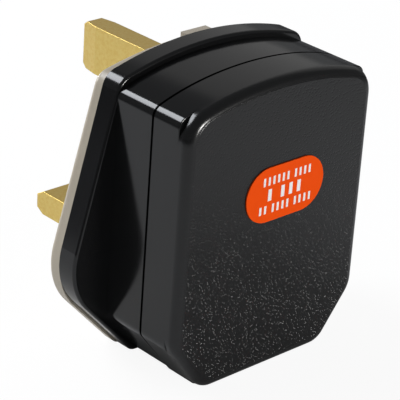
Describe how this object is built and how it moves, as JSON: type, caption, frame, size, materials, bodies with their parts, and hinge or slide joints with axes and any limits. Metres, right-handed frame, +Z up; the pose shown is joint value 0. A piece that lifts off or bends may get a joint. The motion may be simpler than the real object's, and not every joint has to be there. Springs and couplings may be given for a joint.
{
  "type": "three pin mains plug",
  "caption": "Rewirable fused mains plug with three flat pins, a cream pin plate, a flanged black body and a front cover over the terminals, fuse and cord grip.",
  "frame": {"origin": "on the engagement face (the plate's rear face), midway between the live and neutral pins", "axes": "+Y along the pins towards the socket, +Z up towards the earth pin, +X to the live pin"},
  "size_m": [0.0516, 0.0447, 0.0493],
  "materials": {
    "shell_black": "smooth moulded, fine grain on the front panel",
    "plate_cream": "smooth moulded",
    "label_orange": "printed sticker",
    "brass": "milled",
    "sleeve_black": "smooth",
    "tinned_spring": "tinned",
    "ceramic": "unglazed ceramic",
    "plated_cap": "plated",
    "fuse_wire": "plain wire",
    "fibre": "pressed fibre",
    "steel": "zinc plated"
  },
  "bodies": {
    "root": {"base": "shell_black", "cover": "shell_black", "pin_plate": "plate_cream", "rating_label": "label_orange", "earth_pin": "brass", "neutral_pin": "brass", "live_pin": "brass", "live_terminal": "brass", "cover_nut": "brass", "neutral_sleeve": "sleeve_black", "live_sleeve": "sleeve_black", "fuse_clip_lower": "tinned_spring", "fuse_clip_upper": "tinned_spring", "fuse_tube": "ceramic", "fuse_cap_lower": "plated_cap", "fuse_cap_upper": "plated_cap", "fuse_wire": "fuse_wire", "earth_terminal_screw": "brass", "neutral_terminal_screw": "brass", "live_terminal_screw": "brass", "cord_grip_bar": "fibre", "screw_retainer": "fibre", "cord_grip_screw_left": "steel", "cord_grip_screw_right": "steel", "cover_screw": "steel"}
  },
  "joints": []
}
